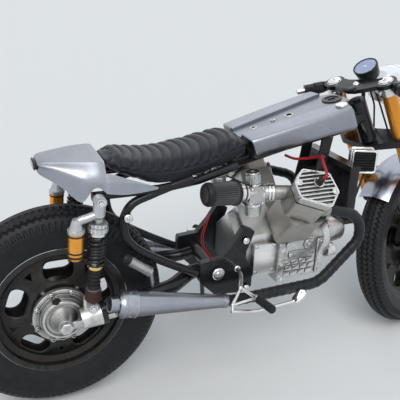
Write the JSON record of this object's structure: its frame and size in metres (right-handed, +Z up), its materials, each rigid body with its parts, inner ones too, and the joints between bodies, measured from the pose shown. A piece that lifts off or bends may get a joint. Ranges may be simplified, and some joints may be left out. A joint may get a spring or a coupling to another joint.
{
  "type": "cafe racer motorcycle",
  "caption": "Cafe racer motorcycle with a transverse V engine, shaft drive, bare metal tank and tail, ribbed black seat, upside-down fork and megaphone silencers, on its side stand.",
  "frame": {"origin": "floor point under the centre of the bounding box, as the motorcycle leans on its side stand", "axes": "+X forward, +Y to the rider's left, +Z up"},
  "size_m": [2.1269, 0.6572, 1.0732],
  "materials": {
    "frame_black": "satin black frame paint",
    "brushed_steel": "bare brushed sheet metal",
    "cast_alloy": "cast light alloy, slightly dull",
    "machined_alloy": "machined light alloy",
    "engine_silver": "silver engine paint",
    "polished": "polished bright metal",
    "black_metal": "gloss black metal",
    "gold": "gold anodised",
    "tyre_rubber": "tyre rubber",
    "rubber": "black rubber",
    "seat_cover": "black seat cover",
    "black_plastic": "black plastic",
    "wrapped_pipe": "dark wrapped exhaust pipe",
    "filter_cloth": "pleated filter cloth"
  },
  "bodies": {
    "root": {"backbone": "frame_black", "brake_panel": "cast_alloy", "carburettors": "cast_alloy", "cylinder_heads": "cast_alloy", "cylinders": "engine_silver", "engine_hangers": "frame_black", "final_drive": "cast_alloy", "foot_pedals": "polished", "footrest_brackets": "polished", "footrest_pegs": "rubber", "front_case": "engine_silver", "head_covers": "cast_alloy", "headers": "wrapped_pipe", "louvred_box": "black_plastic", "pivot_plates": "frame_black", "pod_filters": "filter_cloth", "radiator": "black_metal", "rear_axle": "machined_alloy", "rear_case": "cast_alloy", "rear_loops": "frame_black", "seat": "seat_cover", "seat_rails": "frame_black", "shaft_tube": "frame_black", "shock_bodies": "machined_alloy", "shock_reservoirs": "gold", "shock_springs": "black_metal", "silencers": "brushed_steel", "stand_bracket": "frame_black", "swingarm_left": "frame_black", "swingarm_pivot": "frame_black", "tail_cowl": "brushed_steel", "tank_lobes": "brushed_steel", "tank_plate": "brushed_steel"},
    "steering": {"top_clamp": "black_metal", "lower_clamp": "black_metal", "fork_uppers": "gold", "fork_lowers": "machined_alloy", "front_axle": "machined_alloy", "front_fender": "brushed_steel", "gauge": "black_plastic", "headlamp": "polished", "lamp_ears": "black_metal", "clip_ons": "black_metal", "levers": "machined_alloy", "brake_calipers": "black_metal"},
    "front_wheel": {"front_tyre": "tyre_rubber", "front_rim": "black_metal", "front_hub": "black_metal", "brake_discs": "machined_alloy"},
    "rear_wheel": {"rear_tyre": "tyre_rubber", "rear_rim": "black_metal", "rear_hub": "black_metal"},
    "side_stand": {"side_stand": "frame_black"}
  },
  "joints": [
    {"name": "rear_wheel_spin", "type": "hinge", "parent": "root", "child": "rear_wheel", "pos_m": [-0.72056, -0.00887, 0.34124], "axis": [-0.0003, 0.9937, -0.1123], "continuous": true},
    {"name": "steering_turn", "type": "hinge", "parent": "root", "child": "steering", "pos_m": [0.84145, -0.0474, -0.00408], "axis": [-0.4436, 0.1005, 0.8905], "range_deg": [-44, 0]},
    {"name": "front_wheel_spin", "type": "hinge", "parent": "steering", "child": "front_wheel", "pos_m": [0.73831, 0.01428, 0.33136], "axis": [-0.336, 0.9025, -0.2693], "continuous": true},
    {"name": "stand_fold", "type": "hinge", "parent": "root", "child": "side_stand", "pos_m": [-0.15469, 0.13914, 0.29571], "axis": [0.001, 0.9372, 0.3487], "range_deg": [0, 100]}
  ]
}
